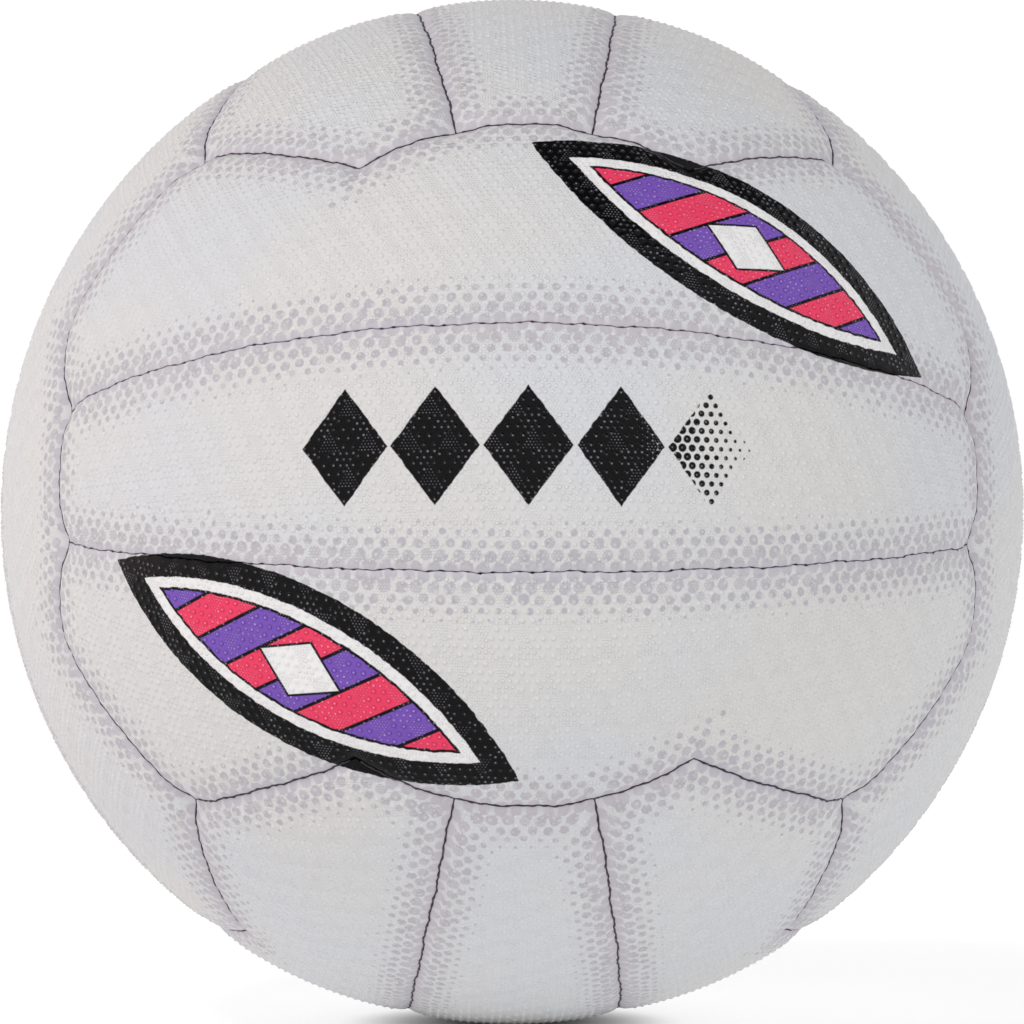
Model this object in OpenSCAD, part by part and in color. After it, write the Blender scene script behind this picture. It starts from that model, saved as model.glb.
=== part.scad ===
/* [Ball] */
// Diameter of the inflated ball, for a circumference of about 700 mm
ball_d = 223; // [216:0.5:226]
// Half the angle along a middle panel, from its centre to its ends
strip_reach_angle = 54.7; // [53:0.1:56]
// Half the angle across a middle panel at its ends
strip_end_angle = 6.8; // [6:0.1:8]
// Half the angle along an outer panel, from its centre to its end bends
bend_reach_angle = 58.5; // [57.5:0.1:59.5]
// Angle from the middle line of a face to the end bends of its outer panels
bend_rise_angle = 16.4; // [15:0.1:18]

/* [Cover panels] */
// Thickness of the rubber cover
cover_t = 1.1; // [0.9:0.1:1.6]
// How deep the turned-in panel edges reach below the ball's surface
rim_depth = 4.6; // [4:0.1:6]
// Gap between the two turned-in edges at a seam
seam_gap = 0.1; // [0.06:0.02:0.2]
// Radius of the shoulder that rolls from a panel's face into the seam
shoulder_r = 2.2; // [1.6:0.1:3]
// How far the shoulder's circle stands past the panel's face and its seam wall
shoulder_proud = 0.1; // [0.06:0.02:0.16]

/* [Lining] */
// Thickness of the laminated cloth behind each cover panel
lining_t = 0.7; // [0.5:0.1:1]
// Glue gap between bonded layers
bond_gap = 0.05; // [0.03:0.01:0.1]

/* [Seam thread] */
// Diameter of the waxed sewing thread
thread_d = 0.6; // [0.4:0.1:0.8]
// Clearance between the thread and the shoulders that it lies on
thread_clear = 0.05; // [0.03:0.01:0.1]
// Distance that a run of thread stops short of a seam junction
thread_stop = 1.4; // [1:0.1:3]

/* [Bladder] */
// Wall thickness of the rubber bladder
bladder_t = 0.7; // [0.5:0.1:1]
// Clearance between the bladder and what it presses on
bladder_clear = 0.1; // [0.06:0.02:0.2]

/* [Valve] */
// Diameter of the valve's head in the hole of the cover
valve_head_d = 6.4; // [5.6:0.2:7.6]
// Depth of the valve's head below the ball's surface
valve_sunk = 0.5; // [0.3:0.1:0.8]
// Diameter of the valve's body inside the bladder
valve_body_d = 9; // [8:0.5:11]
// Length of the valve, from its head to its inner end
valve_len = 15; // [13:0.5:18]
// Diameter of the valve's bonded base
valve_base_d = 22; // [18:1:26]
// Thickness of the valve's bonded base
valve_base_t = 1.2; // [0.8:0.1:1.6]
// Diameter of the hole for the inflating needle
needle_d = 2.2; // [2:0.1:2.6]
// Length of the needle's hole in the valve's head
needle_len = 3; // [2:0.5:4]
// Diameter of the self-sealing core
core_d = 4; // [3.4:0.2:4.6]
// Length of the self-sealing core
core_len = 9; // [7:0.5:9.5]
// Diameter of the reinforcing patch round the valve
patch_d = 34; // [28:1:40]
// Thickness of the reinforcing patch
patch_t = 0.6; // [0.4:0.1:0.8]
// Clearance round the valve's head and round its core
valve_clear = 0.05; // [0.03:0.01:0.1]
// Chamfer on the ends of the valve and of its core
valve_chamfer = 0.6; // [0.3:0.1:0.8]

/* [Hidden] */

$fn = 128;

cover_colour = "whitesmoke";
lining_colour = "tan";
thread_colour = "dimgray";
bladder_colour = "black";
patch_colour = "sienna";
valve_colour = "gainsboro";
core_colour = "firebrick";

// Turns of a face that looks along +Z, with its panels along X, to each face of the ball
front = [90, 0, 0];
back = [90, 0, 180];
top = [0, 0, 90];
bottom = [180, 0, 90];
right = [180, -90, 0];
left = [0, -90, 0];
faces = [front, back, top, bottom, right, left];
half_turn = [0, 0, 180];

// Radii of the layers, and the distance of each layer's edge from the middle of a seam
ball_r = ball_d / 2;
rim_r = ball_r - rim_depth;
cover_edge = seam_gap / 2;
lining_r = ball_r - cover_t - bond_gap;
lining_edge = cover_edge + cover_t + bond_gap;
pad_r = lining_r - lining_t - bladder_clear;
pad_edge = lining_edge + lining_t + bladder_clear;
ridge_r = rim_r - bladder_clear;

// Radii and heights of the valve, from the ball's centre
patch_r = pad_r - bladder_t - bond_gap;
base_r = patch_r - patch_t - bond_gap;
valve_top = ball_r - valve_sunk;
valve_end = valve_top - valve_len;
needle_end = valve_top - needle_len;
body_top = sqrt(pow(pad_r, 2) - pow(valve_body_d / 2, 2));

// Depth that one cut runs past what it cuts
overrun = 1;
// How far a shoulder's cut runs past the ends of its seam, as a share of its radius
past_share = 1.8;
// Angle that covers a distance along the ball's surface
function spread(distance) = distance / ball_r * 180 / PI;

// Centre of a shoulder's circle, from the ball's centre and from the middle of the seam
shoulder_out = ball_r - shoulder_r + shoulder_proud;
shoulder_in = cover_edge + shoulder_r - shoulder_proud;
thread_reach = shoulder_r + thread_clear + thread_d / 2;
thread_out = shoulder_out + sqrt(pow(thread_reach, 2) - pow(shoulder_in, 2));

// Seam points of a face, as directions from the ball's centre
function toward(reach, rise) = [
    cos(rise) * sin(reach), sin(rise), cos(rise) * cos(reach)
];
function next_face(p) = [p[1], p[2], p[0]];
function across(p) = [-p[0], p[1], p[2]];
strip_corner = toward(strip_reach_angle, strip_end_angle);
end_bend = toward(bend_reach_angle, bend_rise_angle);
ball_corner = [1, 1, 1] / norm([1, 1, 1]);
side_bend = next_face(end_bend);
side_corner = next_face(strip_corner);

// Corners of the two panel shapes, counter-clockwise as seen from outside
middle_corners = [
    [-strip_corner[0], -strip_corner[1], strip_corner[2]],
    [strip_corner[0], -strip_corner[1], strip_corner[2]],
    strip_corner,
    across(strip_corner)
];
outer_corners = [
    across(strip_corner), strip_corner, end_bend, ball_corner,
    side_bend, side_corner, across(side_corner), across(side_bend),
    across(ball_corner), across(end_bend)
];
// Edges of an outer panel's outer side, which is drawn in at both of its bends
outer_side = [3, 4, 5, 6, 7];

function next_corner(corners, i) = corners[(i + 1) % len(corners)];
function seam_normal(p, q) = cross(p, q) / norm(cross(p, q));
function edge_normal(corners, i) =
    seam_normal(corners[i], next_corner(corners, i));

// Angle of a seam point round the normal of its seam plane, as aim() turns it
function bearing(n, p) =
    let (tilt = acos(n[2]), way = atan2(n[1], n[0]))
    atan2(
        p * [-sin(way), cos(way), 0],
        p * [cos(tilt) * cos(way), cos(tilt) * sin(way), -sin(tilt)]
    );

// Turns +Z to a direction
module aim(n) {
    rotate([0, acos(n[2]), atan2(n[1], n[0])])
        children();
}

// Sweeps a profile along the seam from p to q, and past both ends by an angle
module along_seam(p, q, past) {
    n = seam_normal(p, q);
    aim(n)
        rotate([0, 0, bearing(n, p) - past])
            rotate_extrude(angle = acos(p * q) + 2 * past)
                children();
}

// Everything beyond a seam plane and a margin on the panel's side of it
module beyond(n, margin) {
    aim(n)
        translate([-ball_d, -ball_d, margin - 2 * ball_d])
            cube(2 * ball_d);
}

// Part of a ball that one panel covers, with its edges a margin away from the seams
module panel_block(corners, drawn_side, radius, margin) {
    first = drawn_side[0];
    last = drawn_side[len(drawn_side) - 1];
    difference() {
        sphere(radius);
        for (i = [0 : len(corners) - 1])
            if (len(search(i, drawn_side)) == 0)
                beyond(edge_normal(corners, i), margin);
        for (i = drawn_side)
            if (i != first && i != last)
                intersection() {
                    beyond(edge_normal(corners, first), margin);
                    beyond(edge_normal(corners, i), margin);
                    beyond(edge_normal(corners, last), margin);
                }
    }
}

// What is cut off a panel's outer edge to roll it into the seam
module shoulder_cut(p, q) {
    along_seam(p, q, spread(past_share * shoulder_r))
        difference() {
            translate([shoulder_out, -overrun])
                square([shoulder_r + overrun, shoulder_in + overrun]);
            translate([shoulder_out, shoulder_in])
                circle(shoulder_r);
        }
}

// Sheet behind a panel's outline, with its edges turned in down to the rim
module turned_in_sheet(corners, drawn_side, radius, margin, wall) {
    difference() {
        panel_block(corners, drawn_side, radius, margin);
        panel_block(corners, drawn_side, radius - wall, margin + wall);
        sphere(rim_r);
    }
}

// Rubber panel with its shoulders rolled into the seams
module cover_panel(corners, drawn_side) {
    color(cover_colour)
        difference() {
            turned_in_sheet(corners, drawn_side, ball_r, cover_edge, cover_t);
            for (i = [0 : len(corners) - 1])
                shoulder_cut(corners[i], next_corner(corners, i));
        }
}

// Cloth bonded to the back of a cover panel
module lining(corners, drawn_side) {
    color(lining_colour)
        turned_in_sheet(corners, drawn_side, lining_r, lining_edge, lining_t);
}

// One run of thread, which lies in the seam between the shoulders
module thread_run(p, q) {
    along_seam(p, q, -spread(thread_stop))
        translate([thread_out, 0])
            circle(d = thread_d);
}

module outer_panel() {
    cover_panel(outer_corners, outer_side);
}

module middle_panel() {
    cover_panel(middle_corners, []);
}

module outer_lining() {
    lining(outer_corners, outer_side);
}

module middle_lining() {
    lining(middle_corners, []);
}

// Thread of an outer panel's inner side and of the five parts of its outer side
module outer_thread() {
    color(thread_colour)
        for (i = concat([0], outer_side))
            thread_run(outer_corners[i], outer_corners[i + 1]);
}

// Inflated form that fills every panel and is drawn in at the seams
module inflated(ridge_radius, pad_radius, margin) {
    sphere(ridge_radius);
    for (face = faces)
        rotate(face) {
            panel_block(middle_corners, [], pad_radius, margin);
            panel_block(outer_corners, outer_side, pad_radius, margin);
            rotate(half_turn)
                panel_block(outer_corners, outer_side, pad_radius, margin);
        }
}

// Hole through the back of the ball, where the valve is
module valve_hole(diameter) {
    rotate(back)
        cylinder(d = diameter, h = ball_d);
}

// Disc that follows the curve of the ball's wall, under the valve
module curved_disc(radius, wall, diameter) {
    intersection() {
        difference() {
            sphere(radius);
            sphere(radius - wall);
        }
        cylinder(d = diameter, h = ball_d);
    }
}

module front_upper_panel() rotate(front) outer_panel();
module front_middle_panel() rotate(front) middle_panel();
module front_lower_panel() rotate(front) rotate(half_turn) outer_panel();
module back_upper_panel() rotate(back) outer_panel();
module back_middle_panel() {
    difference() {
        rotate(back) middle_panel();
        valve_hole(valve_head_d + 2 * valve_clear);
    }
}
module back_lower_panel() rotate(back) rotate(half_turn) outer_panel();
module top_left_panel() rotate(top) outer_panel();
module top_middle_panel() rotate(top) middle_panel();
module top_right_panel() rotate(top) rotate(half_turn) outer_panel();
module bottom_left_panel() rotate(bottom) rotate(half_turn) outer_panel();
module bottom_middle_panel() rotate(bottom) middle_panel();
module bottom_right_panel() rotate(bottom) outer_panel();
module left_front_panel() rotate(left) rotate(half_turn) outer_panel();
module left_middle_panel() rotate(left) middle_panel();
module left_rear_panel() rotate(left) outer_panel();
module right_front_panel() rotate(right) outer_panel();
module right_middle_panel() rotate(right) middle_panel();
module right_rear_panel() rotate(right) rotate(half_turn) outer_panel();

module front_upper_lining() rotate(front) outer_lining();
module front_middle_lining() rotate(front) middle_lining();
module front_lower_lining() rotate(front) rotate(half_turn) outer_lining();
module back_upper_lining() rotate(back) outer_lining();
module back_middle_lining() {
    difference() {
        rotate(back) middle_lining();
        valve_hole(valve_head_d + 2 * valve_clear);
    }
}
module back_lower_lining() rotate(back) rotate(half_turn) outer_lining();
module top_left_lining() rotate(top) outer_lining();
module top_middle_lining() rotate(top) middle_lining();
module top_right_lining() rotate(top) rotate(half_turn) outer_lining();
module bottom_left_lining() rotate(bottom) rotate(half_turn) outer_lining();
module bottom_middle_lining() rotate(bottom) middle_lining();
module bottom_right_lining() rotate(bottom) outer_lining();
module left_front_lining() rotate(left) rotate(half_turn) outer_lining();
module left_middle_lining() rotate(left) middle_lining();
module left_rear_lining() rotate(left) outer_lining();
module right_front_lining() rotate(right) outer_lining();
module right_middle_lining() rotate(right) middle_lining();
module right_rear_lining() rotate(right) rotate(half_turn) outer_lining();

module front_upper_thread() rotate(front) outer_thread();
module front_lower_thread() rotate(front) rotate(half_turn) outer_thread();
module back_upper_thread() rotate(back) outer_thread();
module back_lower_thread() rotate(back) rotate(half_turn) outer_thread();
module top_left_thread() rotate(top) outer_thread();
module top_right_thread() rotate(top) rotate(half_turn) outer_thread();
module bottom_left_thread() rotate(bottom) rotate(half_turn) outer_thread();
module bottom_right_thread() rotate(bottom) outer_thread();
module left_front_thread() rotate(left) rotate(half_turn) outer_thread();
module left_rear_thread() rotate(left) outer_thread();
module right_front_thread() rotate(right) outer_thread();
module right_rear_thread() rotate(right) rotate(half_turn) outer_thread();

module bladder() {
    color(bladder_colour)
        difference() {
            inflated(ridge_r, pad_r, pad_edge);
            inflated(ridge_r - bladder_t, pad_r - bladder_t, pad_edge + bladder_t);
            valve_hole(valve_body_d + 2 * bond_gap);
        }
}

module valve_patch() {
    color(patch_colour)
        rotate(back)
            difference() {
                curved_disc(patch_r, patch_t, patch_d);
                cylinder(d = valve_body_d + 2 * bond_gap, h = ball_d);
            }
}

// Rubber stem with a head in the cover's hole and a base bonded inside the bladder
module valve_body() {
    head = valve_head_d / 2;
    body = valve_body_d / 2;
    bore = core_d / 2 + valve_clear;
    color(valve_colour)
        rotate(back)
            difference() {
                union() {
                    rotate_extrude()
                        polygon([
                            [0, valve_top],
                            [head - valve_chamfer, valve_top],
                            [head, valve_top - valve_chamfer],
                            [head, body_top],
                            [body, body_top],
                            [body, valve_end + valve_chamfer],
                            [body - valve_chamfer, valve_end],
                            [0, valve_end]
                        ]);
                    curved_disc(base_r, valve_base_t, valve_base_d);
                }
                translate([0, 0, needle_end - overrun])
                    cylinder(d = needle_d, h = needle_len + 2 * overrun);
                translate([0, 0, valve_end - overrun])
                    cylinder(r = bore, h = needle_end - valve_end + overrun);
            }
}

// Rubber plug with a dimple that leads the needle to its slit
module valve_core() {
    core_top = needle_end - valve_clear;
    core_end = core_top - core_len;
    color(core_colour)
        rotate(back)
            rotate_extrude()
                polygon([
                    [0, core_top - needle_d / 2],
                    [needle_d / 2, core_top],
                    [core_d / 2, core_top],
                    [core_d / 2, core_end + valve_chamfer],
                    [core_d / 2 - valve_chamfer, core_end],
                    [0, core_end]
                ]);
}

front_upper_panel();
front_middle_panel();
front_lower_panel();
back_upper_panel();
back_middle_panel();
back_lower_panel();
top_left_panel();
top_middle_panel();
top_right_panel();
bottom_left_panel();
bottom_middle_panel();
bottom_right_panel();
left_front_panel();
left_middle_panel();
left_rear_panel();
right_front_panel();
right_middle_panel();
right_rear_panel();
front_upper_lining();
front_middle_lining();
front_lower_lining();
back_upper_lining();
back_middle_lining();
back_lower_lining();
top_left_lining();
top_middle_lining();
top_right_lining();
bottom_left_lining();
bottom_middle_lining();
bottom_right_lining();
left_front_lining();
left_middle_lining();
left_rear_lining();
right_front_lining();
right_middle_lining();
right_rear_lining();
front_upper_thread();
front_lower_thread();
back_upper_thread();
back_lower_thread();
top_left_thread();
top_right_thread();
bottom_left_thread();
bottom_right_thread();
left_front_thread();
left_rear_thread();
right_front_thread();
right_rear_thread();
bladder();
valve_patch();
valve_body();
valve_core();
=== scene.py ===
import math

import bpy
import numpy as np
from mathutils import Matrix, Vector
from mathutils.geometry import delaunay_2d_cdt


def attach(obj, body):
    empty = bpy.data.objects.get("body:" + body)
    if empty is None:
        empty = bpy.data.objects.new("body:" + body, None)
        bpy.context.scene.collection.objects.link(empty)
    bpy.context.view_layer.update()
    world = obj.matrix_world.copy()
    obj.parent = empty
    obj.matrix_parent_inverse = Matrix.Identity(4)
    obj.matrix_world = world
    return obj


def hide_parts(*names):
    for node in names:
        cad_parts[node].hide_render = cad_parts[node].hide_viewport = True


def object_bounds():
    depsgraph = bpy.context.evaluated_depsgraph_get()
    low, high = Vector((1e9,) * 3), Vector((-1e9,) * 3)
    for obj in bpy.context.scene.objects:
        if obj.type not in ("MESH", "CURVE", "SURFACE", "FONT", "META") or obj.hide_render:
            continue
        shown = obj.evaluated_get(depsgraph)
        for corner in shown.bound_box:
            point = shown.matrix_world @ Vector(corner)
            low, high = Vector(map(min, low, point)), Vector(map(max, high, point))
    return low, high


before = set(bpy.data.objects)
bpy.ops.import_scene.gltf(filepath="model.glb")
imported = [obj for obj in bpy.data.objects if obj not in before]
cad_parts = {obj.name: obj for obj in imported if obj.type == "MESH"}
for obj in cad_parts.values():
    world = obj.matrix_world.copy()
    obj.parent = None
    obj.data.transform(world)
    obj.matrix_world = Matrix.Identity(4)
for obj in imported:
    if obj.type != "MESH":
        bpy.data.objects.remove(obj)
cad_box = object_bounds()

MM = 0.001
BALL_R = (cad_box[1][2] - cad_box[0][2]) / 2 / MM

# Panel layout, as angles in degrees on a face that looks along +Z with its panels along X
STRIP_REACH = 54.7
STRIP_END = 6.8
BEND_REACH = 58.5
BEND_RISE = 16.4
OUTER_TILT = 23.5

# Cover panels, in millimetres
COVER_T = 1.1
TURN_IN = 4.6
SEAM_HALF = 0.1
WALL_D = 1.2
SHOULDER_W = 2.5
SHOULDER_DEPTH = 1.2
SHOULDER_SLOPE = 0.94
CROWN_DEPTH = 0.6
CROWN_W = 7.5
CORNER_EASE = 0.42
CORNER_SPREAD = 1.6
JUNCTION_SINK = 1.5
BEND_SINK = 0.4
SINK_W = 4.5
VALVE_R = 3.25
HOLE_SIDES = 64

# Stitching: each seam wanders by sine waves of these periods and shares, is drawn in at each stitch,
# and opens and closes. The seams along the front and back strips are tight
STITCH = 4.8
WAVE = 0.17
WAVES = ((27.0, 0.7), (2.2 * STITCH, 0.55), (STITCH, 0.5), (1.9, 0.3))
WAVE_REACH = 3.5
WAVE_FADE = 6.0
PUCKER = 0.16
PUCKER_REACH = 1.7
PUCKER_PERIOD = 17.0
CLOSING = 0.05
CLOSING_REACH = 0.6
OPENING = 2.8
GAP_PERIODS = (2.3, 8.7)
TIGHT_FADE = 9.0
TIGHT_WIDTH_CUT = 0.62
TIGHT_DEPTH_CUT = 0.6
TIGHT_PUCKER_CUT = 0.4
TIGHT_LINE_CUT = 1.3

# Thread in the seams, in millimetres
THREAD_R = 0.175
THREAD_SIDES = 6
THREAD_STEP = 0.5
THREAD_SHORT = 1.2
THREAD_DEPTH = 0.6
THREAD_SWAY = 0.05

# Pimples: lattice pitch, height, the share of that height a step away, and the gap along the seams
PIMPLE_PITCH = 1.85
PIMPLE_H = 0.29
PIMPLE_FOOT = 0.2
PIMPLE_START = 1.2
PIMPLE_RISE = 1.3
PATCH_CELL = 4

# Lining and bladder, in millimetres
LINING_T = 0.7
GLUE = 0.05
BLADDER_T = 0.7
BLADDER_CLEAR = 0.1
BLADDER_HOLE_R = 4.55

# Halftone border of the print: rows of dots that shrink away from the seam, as distance and radius
DOT_PITCH = 2.95
DOT_ROWS = ((0.8, 1.14), (2.9, 1.1), (5.0, 0.9), (7.0, 0.62), (8.8, 0.32))
DOT_STRAY = 0.12
DOT_APART = 1.9
DOT_FAR = 3.0

# Mesh steps, in millimetres
FINE = 4
LATTICE = PIMPLE_PITCH / FINE
EDGE_STEP = 0.55
BACK_STEP = 6.0
FACE_ROWS = (0.1, 0.22, 0.42, 0.7, 1.05, 1.5, 2.0, 2.55, 3.1)
LINING_STEP = 4.0

# Rings of each sheet, as distance from the seam and level below the ball's surface. A panel's rings go
# from its inner face down the turned-in edge, round the rim, up the seam wall and onto its face
COVER_RINGS = (
    (4.5, COVER_T), (2.2, COVER_T), (1.3, COVER_T + 0.02), (WALL_D, 1.35), (WALL_D, 3.4), (1.1, 4.4),
    (0.85, TURN_IN), (0.3, TURN_IN), (SEAM_HALF, 4.4), (SEAM_HALF, 3.4), (SEAM_HALF, 2.4),
) + tuple((d, 0.0) for d in FACE_ROWS)
LINING_R = COVER_T + GLUE
LINING_D = WALL_D + GLUE
LINING_RINGS = (
    (6.0, LINING_R + LINING_T), (2.6, LINING_R + LINING_T), (LINING_D + LINING_T, 2.2),
    (LINING_D + LINING_T, 4.5), (LINING_D + LINING_T - 0.1, TURN_IN), (LINING_D + 0.1, TURN_IN),
    (LINING_D, 4.4), (LINING_D, 1.5), (LINING_D + 0.15, LINING_R + 0.05), (2.4, LINING_R), (5.0, LINING_R),
)
PAD_R = LINING_R + LINING_T + BLADDER_CLEAR
PAD_D = LINING_D + LINING_T + BLADDER_CLEAR
RIDGE_R = TURN_IN + BLADDER_CLEAR
BLADDER_RINGS = (
    (0.0, RIDGE_R), (1.2, RIDGE_R), (PAD_D - 0.1, RIDGE_R - 0.05), (PAD_D, RIDGE_R - 0.3),
    (PAD_D, PAD_R + 0.5), (PAD_D + 0.15, PAD_R + 0.12), (PAD_D + 0.6, PAD_R), (5.0, PAD_R),
)
INNER_RINGS = tuple(
    (d + (BLADDER_T if d > 1.5 else 0.0), level + BLADDER_T) for d, level in BLADDER_RINGS
)
HOLE_RINGS = ((1.1, 0.0), (0.75, 0.06), (0.4, 0.22), (0.12, 0.5), (0.0, 0.8))

FACES = {
    "front": ((1, 0, 0), (0, 0, 1), (0, -1, 0)),
    "back": ((-1, 0, 0), (0, 0, 1), (0, 1, 0)),
    "top": ((0, 1, 0), (-1, 0, 0), (0, 0, 1)),
    "bottom": ((0, 1, 0), (1, 0, 0), (0, 0, -1)),
    "right": ((0, 0, 1), (0, -1, 0), (1, 0, 0)),
    "left": ((0, 0, 1), (0, 1, 0), (-1, 0, 0)),
}
OUTER_PLACES = {
    "front": ("upper", "lower"),
    "back": ("upper", "lower"),
    "top": ("left", "right"),
    "bottom": ("right", "left"),
    "right": ("front", "rear"),
    "left": ("rear", "front"),
}
HALF_TURN = np.diag([-1.0, -1.0, 1.0])


def unit(v):
    v = np.asarray(v, float)
    return v / np.linalg.norm(v)


def toward(reach, rise):
    a, b = math.radians(reach), math.radians(rise)
    return np.array([math.cos(b) * math.sin(a), math.sin(b), math.cos(b) * math.cos(a)])


def smooth(x):
    x = np.clip(x, 0, 1)
    return x * x * (3 - 2 * x)


STRIP_CORNER = toward(STRIP_REACH, STRIP_END)
END_BEND = toward(BEND_REACH, BEND_RISE)
BALL_CORNER = unit([1, 1, 1])
SIDE_BEND = END_BEND[[1, 2, 0]]
SIDE_CORNER = STRIP_CORNER[[1, 2, 0]]
ACROSS = np.array([-1, 1, 1])
BELOW = np.array([1, -1, 1])

MIDDLE = [STRIP_CORNER * BELOW * ACROSS, STRIP_CORNER * BELOW, STRIP_CORNER, STRIP_CORNER * ACROSS]
MIDDLE_SINKS = [JUNCTION_SINK] * 4
OUTER = [
    STRIP_CORNER * ACROSS, STRIP_CORNER, END_BEND, BALL_CORNER, SIDE_BEND,
    SIDE_CORNER, SIDE_CORNER * ACROSS, SIDE_BEND * ACROSS, BALL_CORNER * ACROSS, END_BEND * ACROSS,
]
OUTER_SINKS = [
    JUNCTION_SINK, JUNCTION_SINK, BEND_SINK, JUNCTION_SINK, BEND_SINK,
    JUNCTION_SINK, JUNCTION_SINK, BEND_SINK, JUNCTION_SINK, BEND_SINK,
]
THREAD_EDGES = (0, 3, 4, 5, 6, 7)


class Outline:
    """A panel's outline on the unit ball, and rows of points at a distance inside it."""

    def __init__(self, corners, sinks, tilt):
        self.p = np.array(corners)
        self.q = np.roll(self.p, -1, axis=0)
        n = np.cross(self.p, self.q)
        self.n = n / np.linalg.norm(n, axis=1)[:, None]
        self.side = np.cross(self.n, self.p)
        self.sweep = np.arccos(np.sum(self.p * self.q, axis=1))
        self.steps = [max(4, round(a * BALL_R / EDGE_STEP)) for a in self.sweep]
        self.sinks = sinks
        self.tilt = math.radians(tilt)

    def mitre(self, k, s):
        """Point near corner k at the same distance from both of its edges."""
        a, b = self.n[k - 1], self.n[k]
        flat = (a + b) * s / (1 + a @ b)
        up = unit(np.cross(a, b))
        if up @ self.p[k] < 0:
            up = -up
        return flat + up * math.sqrt(1 - flat @ flat)

    def row(self, distance):
        s = math.sin(distance / BALL_R)
        c = math.cos(distance / BALL_R)
        count = len(self.p)
        mitres = [self.mitre(k, s) for k in range(count)]
        points = []
        for e in range(count):
            ends = [
                math.atan2(m @ self.side[e], m @ self.p[e])
                for m in (mitres[e], mitres[(e + 1) % count])
            ]
            turn = np.linspace(*ends, self.steps[e] + 1)[:-1, None]
            points.append(c * (np.cos(turn) * self.p[e] + np.sin(turn) * self.side[e]) + s * self.n[e])
        return np.concatenate(points)

    def to_sheet(self, d):
        """Millimetres along and across the flat sheet that the panel was cut from."""
        c, s = math.cos(self.tilt), math.sin(self.tilt)
        y = d[:, 1] * c - d[:, 2] * s
        z = d[:, 1] * s + d[:, 2] * c
        return np.stack([np.arctan2(d[:, 0], z), np.arcsin(y)], axis=1) * BALL_R

    def from_sheet(self, st):
        a, b = st[:, 0] / BALL_R, st[:, 1] / BALL_R
        x, y, z = np.cos(b) * np.sin(a), np.sin(b), np.cos(b) * np.cos(a)
        c, s = math.cos(self.tilt), math.sin(self.tilt)
        return np.stack([x, y * c + z * s, -y * s + z * c], axis=1)

    def edge_distances(self, d):
        """Distance to each edge's arc, and the place along it, both in millimetres."""
        along = np.arctan2(d @ self.side.T, d @ self.p.T)
        off = np.arcsin(np.clip(d @ self.n.T, -1, 1))
        to_p = np.arccos(np.clip(d @ self.p.T, -1, 1))
        to_q = np.arccos(np.clip(d @ self.q.T, -1, 1))
        within = (along >= 0) & (along <= self.sweep)
        return np.where(within, np.abs(off), np.minimum(to_p, to_q)) * BALL_R, along * BALL_R

    def inside(self, d, margin):
        """Which points lie on the panel, at least a margin from its edges."""
        distance, _ = self.edge_distances(d)
        near = distance.argmin(axis=1)
        inward = np.sum(self.n[near] * d, axis=1) > 0
        return inward & (d[:, 2] > 0.1) & (distance.min(axis=1) > margin)


def triangulate(loop, points, hole=()):
    """Triangles over a closed loop of flat points and the points inside it, but not in the hole."""
    coords = [Vector(p) for p in np.concatenate([loop, points])]
    edges = [(hole[i - 1], hole[i]) for i in range(len(hole))]
    out = delaunay_2d_cdt(coords, edges, [list(range(len(loop)))], 1, 1e-6, True)
    if len(out[0]) != len(coords):
        raise RuntimeError("the triangulation added points")
    back = np.array([o[0] for o in out[3]])
    triangles = back[np.array(out[2])]
    on_loop = np.flatnonzero((triangles < len(loop)).all(axis=1))
    middle = np.array(loop)[triangles[on_loop]].mean(axis=1)
    a, b = np.array(loop), np.roll(loop, -1, axis=0)
    straddles = (a[:, 1] > middle[:, None, 1]) != (b[:, 1] > middle[:, None, 1])
    rise = np.where(straddles, b[:, 1] - a[:, 1], 1)
    crossing = a[:, 0] + (middle[:, None, 1] - a[:, 1]) / rise * (b[:, 0] - a[:, 0])
    crossings = (straddles & (crossing > middle[:, None, 0])).sum(axis=1)
    triangles = np.delete(triangles, on_loop[crossings % 2 == 0], axis=0)
    if len(hole):
        inner = np.isin(triangles, hole).all(axis=1)
        triangles = triangles[~inner]
    return triangles


def lattice(outline, step, margin):
    """Points of a triangular lattice on the flat sheet, inside the outline."""
    edge = outline.to_sheet(outline.p)
    reach = math.ceil((np.abs(edge[:, 0]).max() + 12) / step)
    row_gap = step * math.sqrt(3) / 2
    rows = np.arange(
        math.floor((edge[:, 1].min() - 12) / row_gap), math.ceil((edge[:, 1].max() + 12) / row_gap) + 1
    )
    j, i = np.meshgrid(rows, np.arange(-reach, reach + 1), indexing="ij")
    st = np.stack([(i + 0.5 * (j % 2)) * step, j * row_gap], axis=-1).reshape(-1, 2)
    ij = np.stack([i - j // 2, j], axis=-1).reshape(-1, 2)
    keep = outline.inside(outline.from_sheet(st), margin)
    return st[keep], ij[keep]


def pimple_heights(ij):
    """Height share of each lattice point: a pimple stands on every coarse point outside the patches."""
    steps = [(0, 0, 1.0)]
    if FINE == 4:
        around = ((1, 0), (0, 1), (-1, 1), (-1, 0), (0, -1), (1, -1))
        steps += [(di, dj, PIMPLE_FOOT) for di, dj in around]
    heights = np.zeros(len(ij))
    for di, dj, share in steps:
        a, b = ij[:, 0] - di, ij[:, 1] - dj
        on = (a % FINE == 0) & (b % FINE == 0)
        corner = (a // FINE) % PATCH_CELL + (b // FINE) % PATCH_CELL
        patch = (corner < 2) | (corner > 4)
        heights = np.maximum(heights, np.where(on & ~patch, share, 0))
    return heights


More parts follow.
